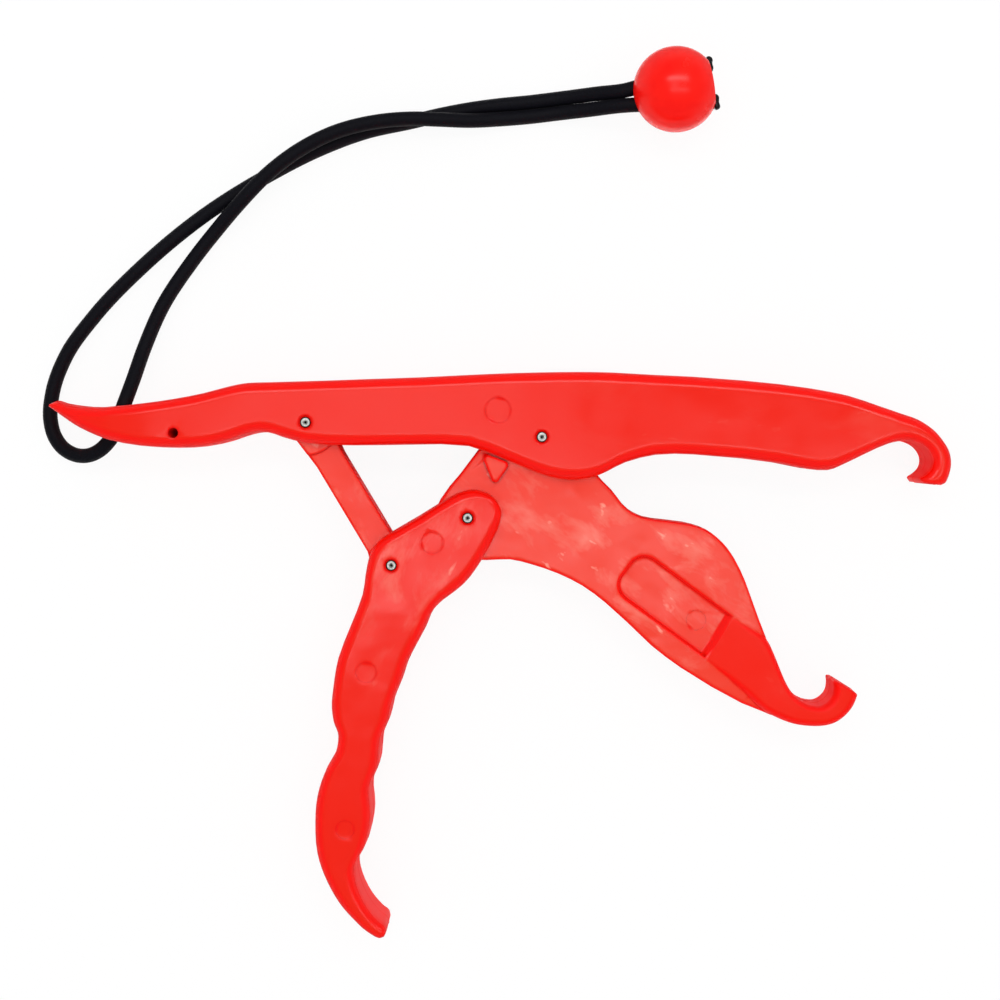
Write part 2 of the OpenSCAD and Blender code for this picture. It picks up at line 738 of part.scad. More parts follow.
// A dome of melted cord, standing on the flat side of the ball
module cord_end(p) {
    r = (end_d * end_d / 4 + end_h * end_h) / (2 * end_h);
    color(elastic)
        translate(p)
            rotate([0, 90, ball_turn])
                difference() {
                    translate([0, 0, end_h - r]) sphere(r);
                    translate([-end_d, -end_d, -2 * end_d]) cube(2 * end_d);
                }
}

module cord_end_1() {
    cord_end(first_end);
}

module cord_end_2() {
    cord_end(second_end);
}

body();
lower_jaw();
lever();
link();
jaw_pivot_pin();
lever_pivot_pin();
link_lever_pin();
link_body_pin();
lanyard_cord();
lanyard_ball();
cord_end_1();
cord_end_2();
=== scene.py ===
import math

import bmesh
import bpy
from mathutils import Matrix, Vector
from mathutils.bvhtree import BVHTree


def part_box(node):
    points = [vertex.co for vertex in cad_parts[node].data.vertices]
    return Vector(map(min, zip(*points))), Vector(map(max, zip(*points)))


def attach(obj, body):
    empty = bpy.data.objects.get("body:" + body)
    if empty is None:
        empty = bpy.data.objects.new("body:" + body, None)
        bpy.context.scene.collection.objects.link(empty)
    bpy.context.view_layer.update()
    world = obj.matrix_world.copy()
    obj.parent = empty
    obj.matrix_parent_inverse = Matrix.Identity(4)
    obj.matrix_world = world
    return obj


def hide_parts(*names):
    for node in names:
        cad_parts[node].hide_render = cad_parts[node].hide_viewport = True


mm = 0.001
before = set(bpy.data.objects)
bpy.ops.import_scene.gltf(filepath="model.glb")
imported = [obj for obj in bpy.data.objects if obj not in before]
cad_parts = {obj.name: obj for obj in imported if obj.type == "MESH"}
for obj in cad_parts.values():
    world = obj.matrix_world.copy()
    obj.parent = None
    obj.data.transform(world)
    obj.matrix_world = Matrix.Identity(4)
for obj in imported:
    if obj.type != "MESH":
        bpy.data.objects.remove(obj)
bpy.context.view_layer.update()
print("frame loaded:", len(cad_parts), "solids")


# Small tools for every piece

def linear(hexCode):  # sRGB hex to linear colour
    parts = [int(hexCode[i:i + 2], 16) / 255 for i in (1, 3, 5)]
    bent = [c / 12.92 if c <= 0.04045 else ((c + 0.055) / 1.055) ** 2.4 for c in parts]
    return (*bent, 1.0)


def perMetre(sizeMm):  # texture scale that gives features of this size
    return 1 / (sizeMm * mm)


def addNode(tree, kind, settings=None, **sockets):
    node = tree.nodes.new(kind)
    for name, value in (settings or {}).items():
        setattr(node, name, value)
    for name, value in sockets.items():
        wanted = name.replace("_", " ")
        socket = node.inputs[int(name[1:])] if name[1:].isdigit() else node.inputs[wanted]
        if isinstance(value, bpy.types.NodeSocket):
            tree.links.new(value, socket)
        else:
            socket.default_value = value
    return node


def grey(level):
    return (level, level, level, 1.0)


def pickOnly(piece):
    bpy.ops.object.select_all(action="DESELECT")
    piece.select_set(True)
    bpy.context.view_layer.objects.active = piece


def selectEdges(piece, wanted):  # leaves the piece in edit mode with those edges selected
    pickOnly(piece)
    bpy.ops.object.mode_set(mode="EDIT")
    bpy.ops.mesh.select_mode(type="EDGE")
    bpy.ops.mesh.select_all(action="DESELECT")
    mesh = bmesh.from_edit_mesh(piece.data)
    for edge in mesh.edges:
        edge.select_set(wanted(edge))
    bmesh.update_edit_mesh(piece.data)


def applyModifier(piece, kind, **settings):
    pickOnly(piece)
    bpy.ops.object.modifier_add(type=kind)
    modifier = piece.modifiers[-1]
    for name, value in settings.items():
        setattr(modifier, name, value)
    bpy.ops.object.modifier_apply(modifier=modifier.name)


def dress(piece, body, slot, material, *nodes):  # finish, ride and stand in for solids
    piece.data.materials.clear()
    piece.data.materials.append(material)
    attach(piece, body)
    if nodes:
        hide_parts(*nodes)


# Camera straight above the table, a little off the middle of the picture

camera = {
    "above": (-8.707, 1.905),  # point under the lens, mm
    "height": 500,             # mm over the table
    "focal": 63.5,             # mm
    "sensor": 36,              # mm
    "shift": (-0.010, -0.070),
    "nearest": 10,             # mm, where the view starts
}


def placeCamera(look):
    x, y = look["above"]
    bpy.ops.object.camera_add(location=(x * mm, y * mm, look["height"] * mm), rotation=(0, 0, 0))
    lens = bpy.context.object.data
    lens.lens = look["focal"]
    lens.sensor_width = look["sensor"]
    lens.shift_x, lens.shift_y = look["shift"]
    lens.clip_start = look["nearest"] * mm
    bpy.context.scene.camera = bpy.context.object


placeCamera(camera)
print("camera placed")


# Elastic cord: black polyester braid over rubber, doubled through the tail, both ends in the ball

ball = {
    "centre": (37.2, 96.2, 11.8),  # mm
    "diameter": 23.6,
    "flat": 9.9,        # from the centre to the flat side
    "turn": 10,         # degrees that the flat side turns from +X
    "spread": 10.6,     # between the two cord ends
    "hole": 4.8,
    "holeSides": 48,
    "holeReach": 1.4,   # length of the drill against the way through the ball
    "lip": 0.35,        # rounding of the rims
    "merge": 0.003,     # closes slivers left by the drilling
    "rim": 24,          # degrees, edges sharper than this are rims
    "smooth": 30,       # degrees, shading runs on below this
    "around": 96,       # faces round the ball
    "along": 64,        # rings of faces from pole to pole
}
flatOut = Vector((math.cos(math.radians(ball["turn"])), math.sin(math.radians(ball["turn"])), 0))
flatSide = Vector((-flatOut.y, flatOut.x, 0))
ballCentre = Vector(ball["centre"])
firstEnd = ballCentre + ball["flat"] * flatOut + ball["spread"] / 2 * flatSide
secondEnd = ballCentre + ball["flat"] * flatOut - ball["spread"] / 2 * flatSide
firstMouth = Vector((22.6, 96.3, 9))
secondMouth = Vector((22.6, 92.2, 9))

cord = {
    "diameter": 4,       # mm
    "length": 472,
    "step": 0.3,         # between two rings of the mesh
    "around": 40,        # points in a ring
    "strands": 10,       # strands that run each way round
    "pitch": 9.5,        # one turn of a strand along the cord
    "relief": 0.1,       # height of the strands, half of it outside the diameter
    "route": [
        firstEnd, (firstEnd + firstMouth) / 2, firstMouth,
        (16.5, 96.1, 6.4), (7, 95.5, 2.9), (-3, 94.4, 2.1), (-12, 93.5, 2.1), (-20, 92.4, 2.1),
        (-28.4, 90.8, 2.1), (-36, 89, 2.1), (-49.5, 86, 2.1), (-63, 80.9, 2.1), (-76.5, 74, 2.1),
        (-94.5, 62.8, 2.1), (-112.5, 48, 2.1), (-126, 34, 2.1), (-134, 22.8, 2.1), (-137.8, 12.5, 2.1),
        (-138.4, 4.8, 2.1), (-137.2, 0.4, 2.6), (-134.6, -3, 3.7), (-130.8, -5, 5.2), (-126.6, -5.2, 7),
        (-122.8, -3.6, 8.6), (-120.2, -1.2, 9.6), (-115.8, 9.6, 9.6), (-114, 16, 7), (-111.6, 25, 3.6),
        (-106.6, 37, 2.4), (-98.6, 49.2, 2.2), (-91, 58.6, 3.2), (-84.5, 65.6, 5.4), (-76, 74, 6.5),
        (-67.5, 80.4, 6.3), (-58, 85.2, 6.1), (-46, 88.2, 6.3), (-36, 89, 6.4), (-28, 88.8, 6.2),
        (-20, 88.8, 4.6), (-11.5, 89.5, 2.8), (-3, 90.3, 2.2), (5, 91.2, 2.6), (13, 91.7, 5.1),
        secondMouth, (secondEnd + secondMouth) / 2, secondEnd],
}


def smoothRoute(points, perStretch=24):  # a smooth curve through the points
    def tangent(i):
        back = points[i] - points[max(0, i - 1)]
        ahead = points[min(len(points) - 1, i + 1)] - points[i]
        if back.length == 0:
            return ahead.normalized()
        if ahead.length == 0:
            return back.normalized()
        weighed = back.normalized() * ahead.length + ahead.normalized() * back.length
        return weighed / (back.length + ahead.length)

    fine = []
    for i in range(len(points) - 1):
        p, q = points[i], points[i + 1]
        reach = (q - p).length
        for j in range(perStretch):
            s = j / perStretch
            rise = 3 * s * s - 2 * s ** 3
            leave = (s ** 3 - 2 * s * s + s) * reach
            arrive = (s ** 3 - s * s) * reach
            fine.append((1 - rise) * p + rise * q + leave * tangent(i) + arrive * tangent(i + 1))
    fine.append(points[-1])
    return fine


def evenSteps(points, step):  # the same curve cut into equal lengths
    lengths = [0]
    for p, q in zip(points, points[1:]):
        lengths.append(lengths[-1] + (q - p).length)
    count = round(lengths[-1] / step)
    steps = []
    i = 0
    for k in range(count + 1):
        target = lengths[-1] * k / count
        while i < len(points) - 2 and lengths[i + 1] < target:
            i += 1
        share = (target - lengths[i]) / (lengths[i + 1] - lengths[i])
        steps.append(points[i].lerp(points[i + 1], share))
    return steps


def braidHeight(look, angle, along):  # 0 in the gaps, 1 on the crown of a strand
    turns = look["strands"] * angle / (2 * math.pi)
    climb = look["strands"] * along / look["pitch"]
    right = turns + climb
    left = turns - climb
    onTop = right if (math.floor(right) + math.floor(left)) % 2 == 0 else left
    across = 2 * (onTop - math.floor(onTop)) - 1
    return math.sqrt(max(0, 1 - across * across))


def braidCord(look):
    line = evenSteps(smoothRoute([Vector(p) for p in look["route"]]), look["step"])
    count = look["around"]
    core = look["diameter"] / 2 - look["relief"] / 2
    verts = []
    side = Vector((0, 0, 1))
    for i, p in enumerate(line):
        along = (line[min(i + 1, len(line) - 1)] - line[max(i - 1, 0)]).normalized()
        side = (side - along * side.dot(along)).normalized()  # carried on without a twist
        up = along.cross(side)
        for j in range(count):
            angle = 2 * math.pi * j / count
            radius = core + look["relief"] * braidHeight(look, angle, i * look["step"])
            verts.append((p + radius * (math.cos(angle) * side + math.sin(angle) * up)) * mm)
    faces = []
    for i in range(len(line) - 1):
        for j in range(count):
            k = (j + 1) % count
            faces.append((i * count + j, i * count + k, (i + 1) * count + k, (i + 1) * count + j))
    faces.append(tuple(range(count - 1, -1, -1)))
    faces.append(tuple((len(line) - 1) * count + j for j in range(count)))
    mesh = bpy.data.meshes.new("braided_cord")
    mesh.from_pydata(verts, [], faces)
    layer = mesh.uv_layers.new(name="braid")  # turns round the cord, metres along it
    for face in mesh.polygons:
        for loop in face.loop_indices:
            corner = mesh.loops[loop].vertex_index
            ring, spot = divmod(corner, count)
            lap = 1 if spot == 0 and face.index % count == count - 1 else 0
            layer.data[loop].uv = (spot / count + lap, ring * look["step"] * mm)
    piece = bpy.data.objects.new("braided_cord", mesh)
    bpy.context.collection.objects.link(piece)
    pickOnly(piece)
    bpy.ops.object.shade_smooth()
    return piece, line


braidedCord, cordLine = braidCord(cord)
print("cord:", len(braidedCord.data.polygons), "faces,", len(cordLine), "rings")


# Materials

midNoise = (0.3, 0.7)  # values that take in most of a noise


def newMaterial(name):
    material = bpy.data.materials.new(name)
    material.use_nodes = True
    return material, material.node_tree, material.node_tree.nodes["Principled BSDF"]


# Injection moulded nylon, dyed red right through. The wide faces are painted paler than the deep red rounded
# edges, as a painted sheen, the steep walls are dull from the draw of the mould, and corners get painted
# shade.
# Flow marks, sink and rubbing show as pale smears and flecks, partly painted highlight, and as uneven gloss.
nylon = {
    "deep": "#FA0F06",
    # face: the colour of the wide faces, painted paler than the deep red as a painted sheen
    "face": "#F01C06",
    "pale": "#FFA08C",
    # painted shade in corners and recesses
    "cornerShade": "#980804",
    "ior": 1.53,
    "specular": 0.5,
    "roughness": (0.15, 0.25),
    "drawn": 0.6,            # roughness of the steep walls
    "steep": (0.15, 0.45),   # upward part of the normal, from a steep wall to the rest
    "sheenedFace": (0.93, 1.0),     # upward part of the normal, from a rounded edge to a wide face
    "edge": 1.2,             # mm, reach of the eased edges and of their deep red
    "blotch": 9,             # mm, uneven gloss
    "grain": 0.9,            # mm, coarser than the real spark grain, so that it shows
    "grainDepth": 0.06,      # mm
    "stretch": 1.9,          # how much longer than wide the smears are
    "cloudy": (0.5, 0.78),   # part of the noise that shows as smears
    "fleck": (0.67, 0.74),   # part of the finer noise that shows as flecks
    "fleckStrength": 1.6,    # flecks against smears
    "corner": 1.2,           # mm, reach of the painted shade out of a corner
    "openCorner": (0.35, 0.82),   # openness of a corner, from painted shade to none
}
# How pale each moulding's plate faces are painted, a painted sheen, how strong the smears on its faces and
# plate faces are, round which lit spot and how far they lie (mm), fading out as painted light, their size
# (mm) and lean (degrees), how the faces sink (mm), how much rougher the faces are than the plate faces, and
# where a raised arm starts (mm along X), short of which the plate's painted sheen runs
finishes = {
    "body": {"plate": "#F01C06", "smearAndSheen": 0.12, "plateSmear": 0.1, "spot": (85, 5, 20), "reach": 120,
             "smearSize": 14, "lean": 0, "wave": 22, "sink": 0.3, "matt": 0},
    "jaw": {"plate": "#F03620", "smearAndSheen": 0.05, "plateSmear": 0.55, "spot": (20, -35, 15), "reach": 160,
            "smearSize": 8, "lean": -38, "wave": 12, "sink": 0.4, "matt": 0.35, "arm": 30},
    "lever": {"plate": "#F01C06", "smearAndSheen": 0.4, "plateSmear": 0.1, "spot": (-31, -32, 20), "reach": 45,
              "smearSize": 8, "lean": 68, "wave": 14, "sink": 0.3, "matt": 0},
    "link": {"plate": "#F02A0E", "smearAndSheen": 0.2, "plateSmear": 0.4, "spot": (-52, -14, 10), "reach": 60,
             "smearSize": 9, "lean": -55, "wave": 12, "sink": 0.3, "matt": 0},
}
plateFaces = (4.8, 15.1)  # mm, heights between which a face belongs to a plate


def mouldedNylon(name, look, finish):
    material, tree, shader = newMaterial(name)
    place = addNode(tree, "ShaderNodeTexCoord").outputs["Object"]
    blotch = addNode(tree, "ShaderNodeTexNoise", Vector=place, Scale=perMetre(look["blotch"]), Detail=4.0)
    grain = addNode(tree, "ShaderNodeTexNoise", Vector=place, Scale=perMetre(look["grain"]), Detail=2.0)
    wave = addNode(tree, "ShaderNodeTexNoise", Vector=place, Scale=perMetre(finish["wave"]), Detail=1.5)
    # wide faces look straight up or down away from their edges and are painted paler there, a painted sheen,
    # and those of a plate lie deeper
    eased = addNode(tree, "ShaderNodeBevel", {"samples": 8}, Radius=look["edge"] * mm)
    upward = addNode(tree, "ShaderNodeSeparateXYZ", Vector=eased.outputs[0]).outputs["Z"]
    facing = addNode(tree, "ShaderNodeMath", {"operation": "ABSOLUTE"}, _0=upward)
    low, high = look["sheenedFace"]
    sheenedFace = addNode(tree, "ShaderNodeMapRange", Value=facing.outputs[0], From_Min=low, From_Max=high)
    split = addNode(tree, "ShaderNodeSeparateXYZ", Vector=place).outputs
    low, high = plateFaces
    deeper = addNode(tree, "ShaderNodeMath", {"operation": "COMPARE"}, _0=split["Z"],
                     _1=(low + high) / 2 * mm, _2=(high - low) / 2 * mm)
    # painted sheen: the plate's paler colour runs on up to the raised arm, which keeps the deeper face red
    if "arm" in finish:
        behind = addNode(tree, "ShaderNodeMath", {"operation": "LESS_THAN"}, _0=split["X"],
                         _1=finish["arm"] * mm)
        deeper = addNode(tree, "ShaderNodeMath", {"operation": "MAXIMUM"}, _0=deeper.outputs[0],
                         _1=behind.outputs[0])
    paintedSheenColour = addNode(tree, "ShaderNodeMix", {"data_type": "RGBA"}, _0=deeper.outputs[0],
                         _6=linear(look["face"]), _7=linear(finish["plate"]))
    colour = addNode(tree, "ShaderNodeMix", {"data_type": "RGBA"}, _0=sheenedFace.outputs[0],
                     _6=linear(look["deep"]), _7=paintedSheenColour.outputs[2])
    # cloudy smears, and sharper flecks of half their size, drawn out along the piece: flow marks and rubbing,
    # partly painted highlight
    stretch = addNode(tree, "ShaderNodeMapping", {"vector_type": "TEXTURE"}, Vector=place,
                      Scale=(look["stretch"], 1.0, 1.0), Rotation=(0, 0, math.radians(finish["lean"])))
    drawn = addNode(tree, "ShaderNodeTexNoise", Vector=stretch.outputs[0], Detail=4.0, Roughness=0.6,
                    Scale=perMetre(finish["smearSize"]), Distortion=0.3)
    low, high = look["cloudy"]
    cloudy = addNode(tree, "ShaderNodeMapRange", Value=drawn.outputs["Fac"], From_Min=low, From_Max=high)
    scuffed = addNode(tree, "ShaderNodeTexNoise", Vector=stretch.outputs[0], Detail=3.0,
                      Scale=perMetre(finish["smearSize"] / 2), Distortion=0.2)
    low, high = look["fleck"]
    fleck = addNode(tree, "ShaderNodeMapRange", Value=scuffed.outputs["Fac"], From_Min=low, From_Max=high,
                    To_Max=look["fleckStrength"])
    mask = addNode(tree, "ShaderNodeMath", {"operation": "MAXIMUM"}, _0=cloudy.outputs[0],
                   _1=fleck.outputs[0])
    # painted light: the smears are strongest at a lit spot and fade out over its reach
    away = addNode(tree, "ShaderNodeVectorMath", {"operation": "DISTANCE"}, _0=place,
                   _1=Vector(finish["spot"]) * mm)
    near = addNode(tree, "ShaderNodeMapRange", Value=away.outputs["Value"], From_Max=finish["reach"] * mm,
                   To_Min=1.0, To_Max=0.0)
    amount = addNode(tree, "ShaderNodeMapRange", Value=deeper.outputs[0], To_Min=finish["smearAndSheen"],
                     To_Max=finish["plateSmear"])
    onFace = addNode(tree, "ShaderNodeMath", {"operation": "MULTIPLY"}, _0=mask.outputs[0],
                     _1=sheenedFace.outputs[0])
    smearNearLitSpot = addNode(tree, "ShaderNodeMath", {"operation": "MULTIPLY"}, _0=near.outputs[0],
                     _1=amount.outputs[0])
    smearAndSheen = addNode(tree, "ShaderNodeMath", {"operation": "MULTIPLY"}, _0=onFace.outputs[0],
                    _1=smearNearLitSpot.outputs[0])
    smearedAndSheened = addNode(tree, "ShaderNodeMix", {"data_type": "RGBA"}, _0=smearAndSheen.outputs[0],
                   _6=colour.outputs[2], _7=linear(look["pale"]))
    # painted shade: corners and recesses darken to the shade colour
    corner = addNode(tree, "ShaderNodeAmbientOcclusion", {"samples": 8, "only_local": True},
                     Distance=look["corner"] * mm)
    low, high = look["openCorner"]
    openCorner = addNode(tree, "ShaderNodeMapRange", Value=corner.outputs["AO"], From_Min=low, From_Max=high)
    cornerShaded = addNode(tree, "ShaderNodeMix", {"data_type": "RGBA"}, _0=openCorner.outputs[0],
                    _6=linear(look["cornerShade"]), _7=smearedAndSheened.outputs[2])
    tree.links.new(cornerShaded.outputs[2], shader.inputs["Base Color"])
    low, high = look["roughness"]
    gloss = addNode(tree, "ShaderNodeMapRange", Value=blotch.outputs["Fac"], From_Min=midNoise[0],
                    From_Max=midNoise[1], To_Min=low, To_Max=high)
    matt = addNode(tree, "ShaderNodeMapRange", Value=deeper.outputs[0], To_Min=finish["matt"], To_Max=0.0)
    even = addNode(tree, "ShaderNodeMath", {"operation": "ADD"}, _0=gloss.outputs[0], _1=matt.outputs[0])
    low, high = look["steep"]
    dull = addNode(tree, "ShaderNodeMapRange", Value=facing.outputs[0], From_Min=low, From_Max=high,
                   To_Min=look["drawn"], To_Max=even.outputs[0])
    tree.links.new(dull.outputs[0], shader.inputs["Roughness"])
    slow = addNode(tree, "ShaderNodeBump", Height=wave.outputs["Fac"], Strength=1.0,
                   Distance=finish["sink"] * mm, Normal=eased.outputs[0])
    fine = addNode(tree, "ShaderNodeBump", Height=grain.outputs["Fac"], Strength=0.12,
                   Distance=look["grainDepth"] * mm, Normal=slow.outputs[0])
    tree.links.new(fine.outputs[0], shader.inputs["Normal"])
    shader.inputs["IOR"].default_value = look["ior"]
    shader.inputs["Specular IOR Level"].default_value = look["specular"]
    return material


nylonReds = {name: mouldedNylon("moulded_nylon_" + name, nylon, finish) for name, finish in finishes.items()}

# Drawn stainless pin, cropped and faced: faint turning rings on a satin grey end, with black painted shade in
# the dimple and round the rim
steel = {
    "colour": "#E2E4E0",
    "recessShade": "#140C0A",
    "roughness": (0.22, 0.36),
    "ring": 0.25,           # mm, between two turning rings
    "ringDepth": 0.02,      # mm
    "dimple": (0.25, 0.5),  # mm from the axis, where the painted shade in the dimple ends
    "rim": (1.05, 1.25),    # mm from the axis, where the painted shade of the rim starts
}


def turnedSteel(look):
    material, tree, shader = newMaterial("turned_steel")
    place = addNode(tree, "ShaderNodeUVMap", {"uv_map": "turning"}).outputs[0]
    reach = addNode(tree, "ShaderNodeVectorMath", {"operation": "LENGTH"}, _0=place).outputs["Value"]
    count = addNode(tree, "ShaderNodeMath", {"operation": "MULTIPLY"}, _0=reach,
                    _1=2 * math.pi / look["ring"])
    rings = addNode(tree, "ShaderNodeMath", {"operation": "SINE"}, _0=count.outputs[0])
    low, high = look["roughness"]
    gloss = addNode(tree, "ShaderNodeMapRange", Value=rings.outputs[0], From_Min=-1.0, To_Min=low,
                    To_Max=high)
    tree.links.new(gloss.outputs[0], shader.inputs["Roughness"])
    relief = addNode(tree, "ShaderNodeBump", Height=rings.outputs[0], Strength=0.3,
                     Distance=look["ringDepth"] * mm)
    tree.links.new(relief.outputs[0], shader.inputs["Normal"])
    # painted shade in the dimple and round the rim
    low, high = look["dimple"]
    inner = addNode(tree, "ShaderNodeMapRange", Value=reach, From_Min=low, From_Max=high)
    low, high = look["rim"]
    outer = addNode(tree, "ShaderNodeMapRange", Value=reach, From_Min=high, From_Max=low)
    unshaded = addNode(tree, "ShaderNodeMath", {"operation": "MULTIPLY"}, _0=inner.outputs[0],
                   _1=outer.outputs[0])
    colour = addNode(tree, "ShaderNodeMix", {"data_type": "RGBA"}, _0=unshaded.outputs[0],
                     _6=linear(look["recessShade"]), _7=linear(look["colour"]))
    tree.links.new(colour.outputs[2], shader.inputs["Base Color"])
    shader.inputs["Metallic"].default_value = 1.0
    return material


pinSteel = turnedSteel(steel)

# Polyester yarn, dyed black with a cold cast: its fibres break up each strand and catch a dull sheen
yarn = {
    "dark": "#030306",
    "light": "#0F0F17",
    "shade": (0.12, 0.45),  # part of the fibres' noise over which dark turns to light
    "roughness": 0.62,
    "specular": 0.2,
    "sheen": 0.02,
    "sheenRoughness": 0.4,
    "fibre": 0.35,          # mm, coarser than the real fibres, so that they show
    "threads": 60,          # round the cord
    "thread": 0.6,          # mm along the cord
    "fuzz": 0.05,           # mm
}


def braidedYarn(look):
    material, tree, shader = newMaterial("braided_polyester")
    around = addNode(tree, "ShaderNodeUVMap", {"uv_map": "braid"}).outputs[0]
    place = addNode(tree, "ShaderNodeTexCoord").outputs["Object"]
    fibre = addNode(tree, "ShaderNodeTexNoise", Vector=place, Scale=perMetre(look["fibre"]), Detail=3.0)
    lap = addNode(tree, "ShaderNodeMapping", Vector=around,
                  Scale=(look["threads"], perMetre(look["thread"]), 1.0))
    thread = addNode(tree, "ShaderNodeTexNoise", {"noise_dimensions": "2D"}, Vector=lap.outputs[0],
                     Scale=1.0, Detail=2.0)
    both = addNode(tree, "ShaderNodeMath", {"operation": "MULTIPLY"}, _0=fibre.outputs["Fac"],
                   _1=thread.outputs["Fac"])
    low, high = look["shade"]
    lit = addNode(tree, "ShaderNodeMapRange", Value=both.outputs[0], From_Min=low, From_Max=high)
    shade = addNode(tree, "ShaderNodeMix", {"data_type": "RGBA"}, _0=lit.outputs[0],
                    _6=linear(look["dark"]), _7=linear(look["light"]))
    tree.links.new(shade.outputs[2], shader.inputs["Base Color"])
    relief = addNode(tree, "ShaderNodeBump", Height=both.outputs[0], Strength=0.5,
                     Distance=look["fuzz"] * mm)
    tree.links.new(relief.outputs[0], shader.inputs["Normal"])
    shader.inputs["Roughness"].default_value = look["roughness"]
    shader.inputs["Specular IOR Level"].default_value = look["specular"]
    shader.inputs["Sheen Weight"].default_value = look["sheen"]
    shader.inputs["Sheen Roughness"].default_value = look["sheenRoughness"]
    return material


cordBlack = braidedYarn(yarn)

# Moulded polypropylene bead: a satin gloss on a slightly uneven skin
bead = {
    "colour": "#FA1009",
    "tint": "#FF1C12",
    "tinted": (0.35, 0.7),  # part of the noise over which the colour turns to the tint
    "roughness": (0.19, 0.28),
    "ior": 1.49,
    "specular": 0.5,
    "uneven": 7,            # mm, across the dents of the skin
    "dent": 0.3,            # mm
}


def mouldedBead(look):
    material, tree, shader = newMaterial("moulded_bead")
    place = addNode(tree, "ShaderNodeTexCoord").outputs["Object"]
    uneven = addNode(tree, "ShaderNodeTexNoise", Vector=place, Scale=perMetre(look["uneven"]), Detail=3.0)
    low, high = look["tinted"]
    tinted = addNode(tree, "ShaderNodeMapRange", Value=uneven.outputs["Fac"], From_Min=low, From_Max=high)
    colour = addNode(tree, "ShaderNodeMix", {"data_type": "RGBA"}, _0=tinted.outputs[0],
                     _6=linear(look["colour"]), _7=linear(look["tint"]))
    tree.links.new(colour.outputs[2], shader.inputs["Base Color"])
    low, high = look["roughness"]
    gloss = addNode(tree, "ShaderNodeMapRange", Value=uneven.outputs["Fac"], From_Min=midNoise[0],
                    From_Max=midNoise[1], To_Min=low, To_Max=high)
    tree.links.new(gloss.outputs[0], shader.inputs["Roughness"])
    relief = addNode(tree, "ShaderNodeBump", Height=uneven.outputs["Fac"], Strength=0.15,
                     Distance=look["dent"] * mm)
    tree.links.new(relief.outputs[0], shader.inputs["Normal"])
    shader.inputs["IOR"].default_value = look["ior"]
    shader.inputs["Specular IOR Level"].default_value = look["specular"]
    return material


ballRed = mouldedBead(bead)

# Polyester and rubber melted by a flame: black, shiny and pitted
melt = {
    "colour": "#0B0B0C",
    "roughness": (0.28, 0.5),
    "pit": 0.7,        # mm across
    "pitDepth": 0.1,   # mm
}


def meltedPolyester(look):
    material, tree, shader = newMaterial("melted_polyester")
    place = addNode(tree, "ShaderNodeTexCoord").outputs["Object"]
    pits = addNode(tree, "ShaderNodeTexNoise", Vector=place, Scale=perMetre(look["pit"]), Detail=3.0)
    relief = addNode(tree, "ShaderNodeBump", Height=pits.outputs["Fac"], Strength=0.5,
                     Distance=look["pitDepth"] * mm)
    tree.links.new(relief.outputs[0], shader.inputs["Normal"])
    low, high = look["roughness"]
    gloss = addNode(tree, "ShaderNodeMapRange", Value=pits.outputs["Fac"], To_Min=low, To_Max=high)
    tree.links.new(gloss.outputs[0], shader.inputs["Roughness"])
    shader.inputs["Base Color"].default_value = linear(look["colour"])
    return material


meltBlack = meltedPolyester(melt)
print("materials:", len(bpy.data.materials))


# Mouldings: merged copies of the solids, with softened rims and a parting line round the middle

moulding = {
    "merge": 0.1,        # mm, closes slivers left by the cuts
    "corner": 45,        # degrees, edges sharper than this are softened
    "smooth": 32,        # degrees, shading runs on below this
    "flat": 0.995,       # upward part of the normal on the wide faces
    "rim": 0.12,         # mm, rounding of the rims in the wide faces
    "linkEdge": 0.3,     # mm, rounding of the link
    "faces": (0, 20),    # mm, heights of the wide faces
    "onFace": 0.01,      # mm, an edge this near to a wide face lies in it
    "middle": 10,        # mm, height of the parting plane
    "onLine": 0.001,     # mm, a point this near to the parting plane lies in it
    "lift": 0.05,        # mm off the wall, where the look across a hole starts
    "flash": 0.14,       # mm, height of the parting line
    "flashWidth": 0.22,  # mm, half of its width
    "clear": 12,         # mm, no parting line in a hole narrower than this
    "upright": 0.2,      # most upward part of the normal on a wall with a parting line
}


def castMoulding(name, nodeName):
    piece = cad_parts[nodeName].copy()
    piece.data = piece.data.copy()
    piece.name = piece.data.name = name
    piece.parent = None
    bpy.context.collection.objects.link(piece)
    pickOnly(piece)
    bpy.ops.object.mode_set(mode="EDIT")
    bpy.ops.mesh.select_all(action="SELECT")
    bpy.ops.mesh.remove_doubles(threshold=moulding["merge"] * mm)
    bpy.ops.object.mode_set(mode="OBJECT")
    return piece


def softenEdges(piece, width, wanted):
    corner = math.radians(moulding["corner"])
    selectEdges(piece, lambda edge: edge.is_convex and edge.calc_face_angle(0) > corner and wanted(edge))
    bpy.ops.mesh.bevel(offset=width * mm, segments=2, profile=0.5, clamp_overlap=False)
    bpy.ops.object.mode_set(mode="OBJECT")


def onWideFace(edge):
    heights = [corner.co.z / mm for corner in edge.verts]
    return any(max(abs(h - face) for h in heights) < moulding["onFace"] for face in moulding["faces"])


def partingLine(piece):  # a low ridge where the two halves of the mould met
    pickOnly(piece)
    bpy.ops.object.mode_set(mode="EDIT")
    for rise in (-moulding["flashWidth"], 0, moulding["flashWidth"]):
        bpy.ops.mesh.select_all(action="SELECT")
        bpy.ops.mesh.bisect(plane_co=(0, 0, (moulding["middle"] + rise) * mm), plane_no=(0, 0, 1))
    mesh = bmesh.from_edit_mesh(piece.data)
    mesh.normal_update()
    skin = BVHTree.FromBMesh(mesh)
    for spot in mesh.verts:
        onLine = abs(spot.co.z / mm - moulding["middle"]) < moulding["onLine"]
        start = spot.co + moulding["lift"] * mm * spot.normal
        free = onLine and skin.ray_cast(start, spot.normal, moulding["clear"] * mm)[0] is None
        if free and abs(spot.normal.z) < moulding["upright"]:
            spot.co += moulding["flash"] * mm * spot.normal
    bmesh.update_edit_mesh(piece.data)
    bpy.ops.object.mode_set(mode="OBJECT")


